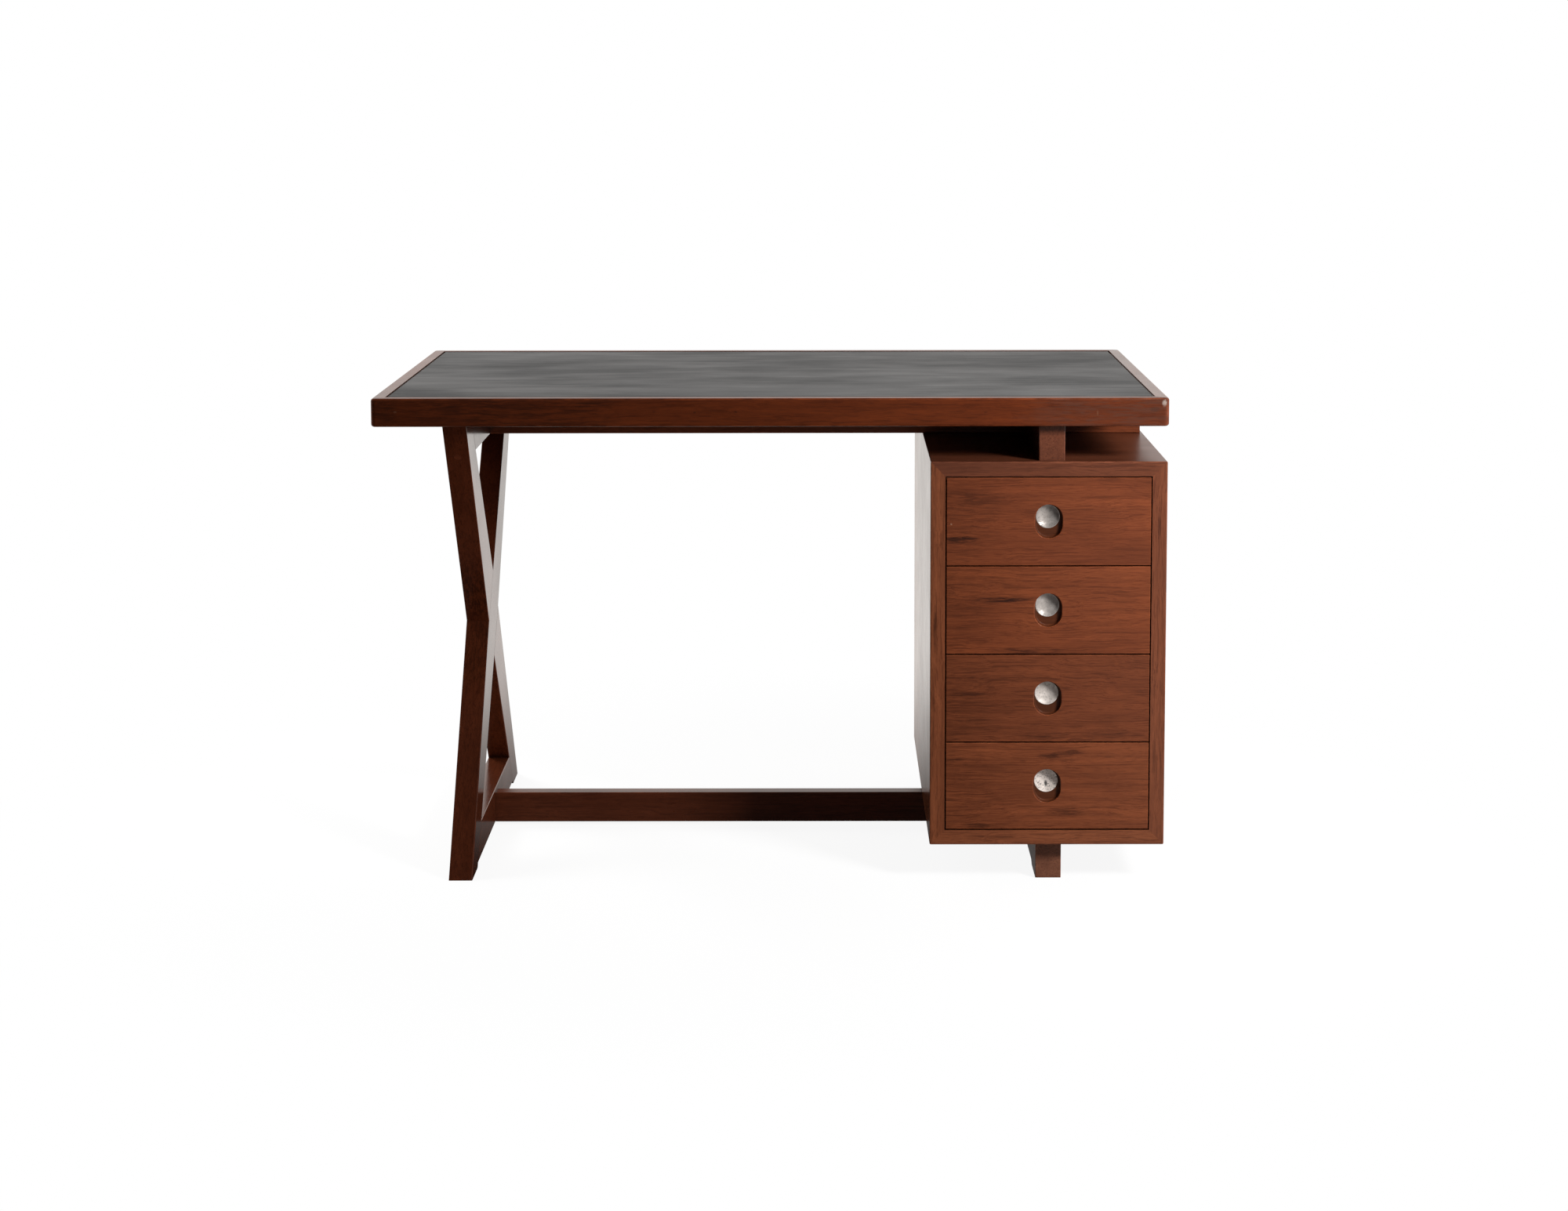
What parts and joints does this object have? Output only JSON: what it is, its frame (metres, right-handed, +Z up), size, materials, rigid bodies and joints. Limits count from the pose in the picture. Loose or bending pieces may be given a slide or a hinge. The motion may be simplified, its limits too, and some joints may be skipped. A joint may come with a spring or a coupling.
{
  "type": "writing desk",
  "caption": "Leather-topped wooden writing desk on a crossed side frame, with a hung pedestal of sliding drawers that have dished metal finger pulls.",
  "frame": {"origin": "on the floor, under the middle of the top", "axes": "+X to the right along the top, +Y to the back, +Z up; the drawers open towards -Y"},
  "size_m": [1.22, 0.76, 0.762],
  "materials": {
    "teak": "oiled and varnished, satin",
    "drawer_wood": "planed, unvarnished",
    "core_wood": "sanded board",
    "leather": "worn, semi-matt",
    "cast_aluminium": "dull, scratched",
    "steel": "plain"
  },
  "bodies": {
    "desk": {"leather_inset": "leather", "top_core": "core_wood", "edge_band_front": "teak", "edge_band_back": "teak", "edge_band_left": "teak", "edge_band_right": "teak", "x_leg_front_top": "teak", "x_leg_back_top": "teak", "left_top_rail": "teak", "left_runner": "teak", "leg_plugs": "teak", "cross_rail": "teak", "stretcher": "teak", "right_top_rail": "teak", "right_runner": "teak", "pedestal_left_side": "teak", "pedestal_right_side": "teak", "pedestal_top": "teak", "pedestal_bottom": "teak", "pedestal_back": "core_wood", "top_screws": "steel", "pedestal_screws": "steel", "slide_1_left": "drawer_wood", "slide_1_right": "drawer_wood", "slide_2_left": "drawer_wood", "slide_2_right": "drawer_wood", "slide_3_left": "drawer_wood", "slide_3_right": "drawer_wood", "slide_4_left": "drawer_wood", "slide_4_right": "drawer_wood"},
    "drawer_1": {"drawer_1_front": "teak", "drawer_1_left_side": "drawer_wood", "drawer_1_right_side": "drawer_wood", "drawer_1_back": "drawer_wood", "drawer_1_bottom": "core_wood", "drawer_1_pull": "cast_aluminium", "drawer_1_pull_screw": "steel"},
    "drawer_2": {"drawer_2_front": "teak", "drawer_2_left_side": "drawer_wood", "drawer_2_right_side": "drawer_wood", "drawer_2_back": "drawer_wood", "drawer_2_bottom": "core_wood", "drawer_2_pull": "cast_aluminium", "drawer_2_pull_screw": "steel"},
    "drawer_3": {"drawer_3_front": "teak", "drawer_3_left_side": "drawer_wood", "drawer_3_right_side": "drawer_wood", "drawer_3_back": "drawer_wood", "drawer_3_bottom": "core_wood", "drawer_3_pull": "cast_aluminium", "drawer_3_pull_screw": "steel"},
    "drawer_4": {"drawer_4_front": "teak", "drawer_4_left_side": "drawer_wood", "drawer_4_right_side": "drawer_wood", "drawer_4_back": "drawer_wood", "drawer_4_bottom": "core_wood", "drawer_4_pull": "cast_aluminium", "drawer_4_pull_screw": "steel"}
  },
  "joints": [
    {"name": "drawer_1_slide", "type": "slide", "parent": "desk", "child": "drawer_1", "axis": [0, -1, 0], "range_m": [0, 0.42]},
    {"name": "drawer_2_slide", "type": "slide", "parent": "desk", "child": "drawer_2", "axis": [0, -1, 0], "range_m": [0, 0.42]},
    {"name": "drawer_3_slide", "type": "slide", "parent": "desk", "child": "drawer_3", "axis": [0, -1, 0], "range_m": [0, 0.42]},
    {"name": "drawer_4_slide", "type": "slide", "parent": "desk", "child": "drawer_4", "axis": [0, -1, 0], "range_m": [0, 0.42]}
  ]
}
